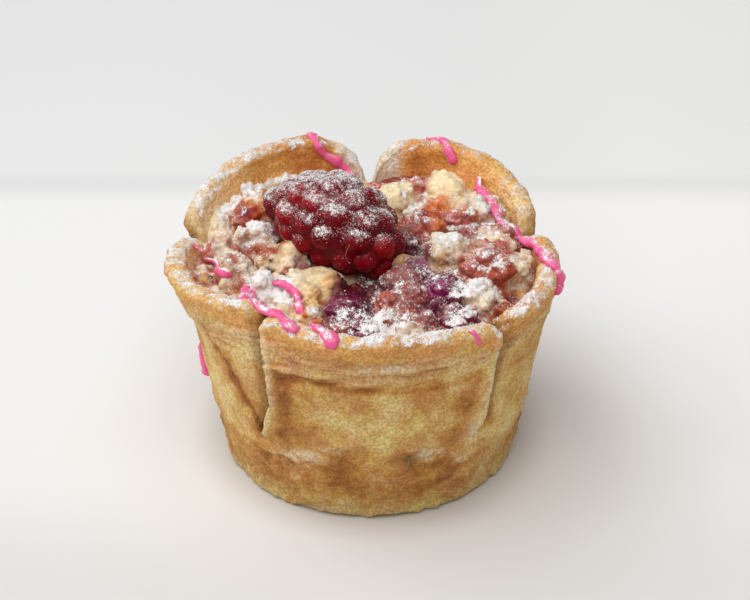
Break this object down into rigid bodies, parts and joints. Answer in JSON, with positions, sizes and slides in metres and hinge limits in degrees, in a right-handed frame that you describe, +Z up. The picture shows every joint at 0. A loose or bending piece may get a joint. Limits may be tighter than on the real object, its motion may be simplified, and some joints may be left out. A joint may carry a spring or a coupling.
{
  "type": "fruit tart",
  "caption": "Small deep butter tart: a pastry cup with a lobed, folded rim, a lumpy baked fruit and crumble filling, one raspberry on top and thin strands of icing.",
  "frame": {"origin": "centre of the flat foot, on the surface that the tart stands on", "axes": "+Z up; the front faces -Y, where the widest lobe of the rim is; +X is the right-hand side seen from the front"},
  "size_m": [0.0723, 0.0703, 0.056],
  "materials": {
    "crust": "matte baked pastry, browned at the rim and the folds",
    "filling": "sticky red jam with dull cream crumble",
    "raspberry": "glossy deep red fruit"
  },
  "bodies": {
    "root": {"crust": "crust", "filling": "filling", "raspberry": "raspberry"}
  },
  "joints": []
}
